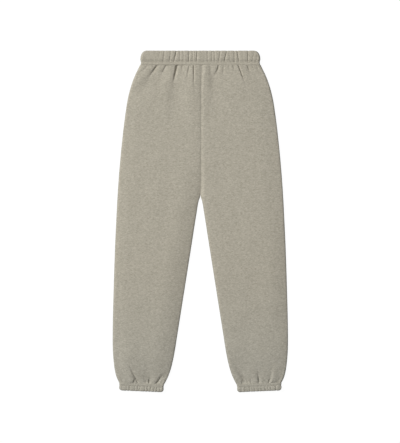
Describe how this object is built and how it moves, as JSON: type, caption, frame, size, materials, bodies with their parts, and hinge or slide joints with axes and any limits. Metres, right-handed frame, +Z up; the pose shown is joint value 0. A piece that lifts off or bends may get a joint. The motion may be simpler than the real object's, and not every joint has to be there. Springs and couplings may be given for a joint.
{
  "type": "jogger sweatpants",
  "caption": "Fleece jogger sweatpants laid flat, front up, with an elasticated waistband and elasticated ankle cuffs.",
  "frame": {"origin": "on the surface that the garment lies on, under the middle of its box", "axes": "+Y from the ankles to the waist, +Z up out of the front, +X to the wearer's left"},
  "size_m": [0.5136, 1, 0.0136],
  "materials": {
    "fleece": "matte heather fleece, warm grey"
  },
  "bodies": {
    "root": {"waistband": "fleece", "front_right": "fleece", "front_left": "fleece", "back_right": "fleece", "back_left": "fleece", "cuff_right": "fleece", "cuff_left": "fleece"}
  },
  "joints": []
}
